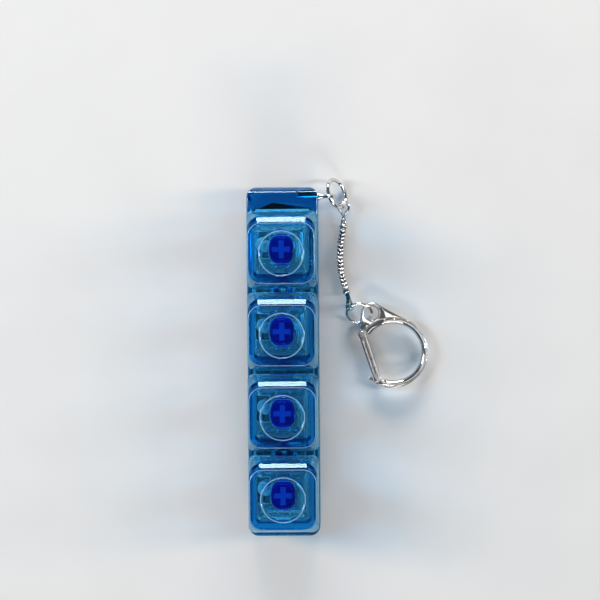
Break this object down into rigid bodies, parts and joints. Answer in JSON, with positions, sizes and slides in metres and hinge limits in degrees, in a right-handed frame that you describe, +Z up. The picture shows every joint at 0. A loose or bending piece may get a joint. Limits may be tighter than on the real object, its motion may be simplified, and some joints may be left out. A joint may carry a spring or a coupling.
{
  "type": "keyboard fidget key ring",
  "caption": "Pocket fidget toy: a row of sprung, light-up keyboard keys on a slim case, with a snake chain and a D-shaped snap clasp to hang it by.",
  "frame": {"origin": "on the underside of the case, under the middle of the row of keys", "axes": "+Z up out of the keys, +Y along the row towards the end that carries the ring, +X towards the side on which the chain lies"},
  "size_m": [0.0426, 0.0843, 0.0248],
  "materials": {
    "cap_plastic": "translucent blue, polished",
    "stem_plastic": "deep blue",
    "housing_plastic": "clear moulded plastic",
    "contact_metal": "bright strip",
    "led_lens": "clear lens",
    "spring_steel": "drawn wire",
    "screw_steel": "zinc plated",
    "case_plastic": "translucent blue",
    "cell_steel": "satin",
    "board_laminate": "solder resist",
    "plated_metal": "nickel plated"
  },
  "bodies": {
    "case": {"case_base": "case_plastic", "case_top": "case_plastic", "battery_cover": "case_plastic", "cover_screw": "screw_steel", "case_screws": "screw_steel", "coin_cell_1": "cell_steel", "coin_cell_2": "cell_steel", "battery_contact_lower": "contact_metal", "battery_contact_upper": "contact_metal", "circuit_board": "board_laminate", "eye_pin": "plated_metal", "switch_base_1": "housing_plastic", "switch_top_1": "housing_plastic", "switch_contacts_1": "contact_metal", "led_1": "led_lens", "spring_1": "spring_steel", "switch_base_2": "housing_plastic", "switch_top_2": "housing_plastic", "switch_contacts_2": "contact_metal", "led_2": "led_lens", "spring_2": "spring_steel", "switch_base_3": "housing_plastic", "switch_top_3": "housing_plastic", "switch_contacts_3": "contact_metal", "led_3": "led_lens", "spring_3": "spring_steel", "switch_base_4": "housing_plastic", "switch_top_4": "housing_plastic", "switch_contacts_4": "contact_metal", "led_4": "led_lens", "spring_4": "spring_steel"},
    "key_1": {"keycap_1": "cap_plastic", "stem_1": "stem_plastic"},
    "key_2": {"keycap_2": "cap_plastic", "stem_2": "stem_plastic"},
    "key_3": {"keycap_3": "cap_plastic", "stem_3": "stem_plastic"},
    "key_4": {"keycap_4": "cap_plastic", "stem_4": "stem_plastic"},
    "upper_ring": {"jump_ring_upper": "plated_metal"},
    "chain_top": {"chain_end_upper": "plated_metal"},
    "chain_1": {"chain_length_1": "plated_metal"},
    "chain_2": {"chain_length_2": "plated_metal"},
    "chain_3": {"chain_length_3": "plated_metal"},
    "chain_4": {"chain_length_4": "plated_metal"},
    "chain_bottom": {"chain_end_lower": "plated_metal"},
    "lower_ring": {"jump_ring_lower": "plated_metal"},
    "clasp": {"clasp_body": "plated_metal", "gate_pin": "plated_metal"},
    "gate": {"clasp_gate": "plated_metal", "gate_spring": "spring_steel"}
  },
  "joints": [
    {"name": "key_1_press", "type": "slide", "parent": "case", "child": "key_1", "axis": [0, 0, -1], "range_m": [0, 0.004], "stiffness_N_per_m": 120, "springref_m": -0.002, "deforming": ["spring_1"]},
    {"name": "key_2_press", "type": "slide", "parent": "case", "child": "key_2", "axis": [0, 0, -1], "range_m": [0, 0.004], "stiffness_N_per_m": 120, "springref_m": -0.002, "deforming": ["spring_2"]},
    {"name": "key_3_press", "type": "slide", "parent": "case", "child": "key_3", "axis": [0, 0, -1], "range_m": [0, 0.004], "stiffness_N_per_m": 120, "springref_m": -0.002, "deforming": ["spring_3"]},
    {"name": "key_4_press", "type": "slide", "parent": "case", "child": "key_4", "axis": [0, 0, -1], "range_m": [0, 0.004], "stiffness_N_per_m": 120, "springref_m": -0.002, "deforming": ["spring_4"]},
    {"name": "upper_ring_swing", "type": "hinge", "parent": "case", "child": "upper_ring", "pos_m": [0.0111, 0.041, 0.0065], "axis": [0, -1, 0], "range_deg": [-12, 95]},
    {"name": "chain_yaw", "type": "hinge", "parent": "upper_ring", "child": "chain_top", "pos_m": [0.01423, 0.0385, 0.00317], "axis": [-0.4455, -0.3103, 0.8398], "range_deg": [-2, 35]},
    {"name": "chain_bend_1", "type": "hinge", "parent": "chain_top", "child": "chain_1", "pos_m": [0.0143, 0.0336, 0.0017], "axis": [0.9848, -0.1736, 0], "range_deg": [-4, 24]},
    {"name": "chain_bend_2", "type": "hinge", "parent": "chain_1", "child": "chain_2", "pos_m": [0.01367, 0.03001, 0.0017], "axis": [0.9986, -0.0523, 0], "range_deg": [-14, 14]},
    {"name": "chain_bend_3", "type": "hinge", "parent": "chain_2", "child": "chain_3", "pos_m": [0.01348, 0.02636, 0.0017], "axis": [0.9976, 0.0698, 0], "range_deg": [-14, 14]},
    {"name": "chain_bend_4", "type": "hinge", "parent": "chain_3", "child": "chain_4", "pos_m": [0.01373, 0.02272, 0.0017], "axis": [0.9659, 0.2588, 0], "range_deg": [-14, 14]},
    {"name": "chain_bend_5", "type": "hinge", "parent": "chain_4", "child": "chain_bottom", "pos_m": [0.01467, 0.01919, 0.0017], "axis": [0.9724, 0.2333, 0], "range_deg": [-4, 28]},
    {"name": "lower_ring_swing", "type": "hinge", "parent": "chain_bottom", "child": "lower_ring", "pos_m": [0.01574, 0.01474, 0.00361], "axis": [0.682, 0.5602, 0.4701], "range_deg": [-55, 12]},
    {"name": "clasp_swing", "type": "hinge", "parent": "lower_ring", "child": "clasp", "pos_m": [0.02085, 0.0132, 0.00232], "axis": [0, -0.766, -0.6428], "range_deg": [-8, 8]},
    {"name": "gate_opening", "type": "hinge", "parent": "clasp", "child": "gate", "pos_m": [0.0186, 0.0081, 0.00232], "axis": [0, 0, 1], "range_deg": [0, 30], "stiffness_Nm_per_rad": 0.002, "springref_deg": -11.46}
  ]
}
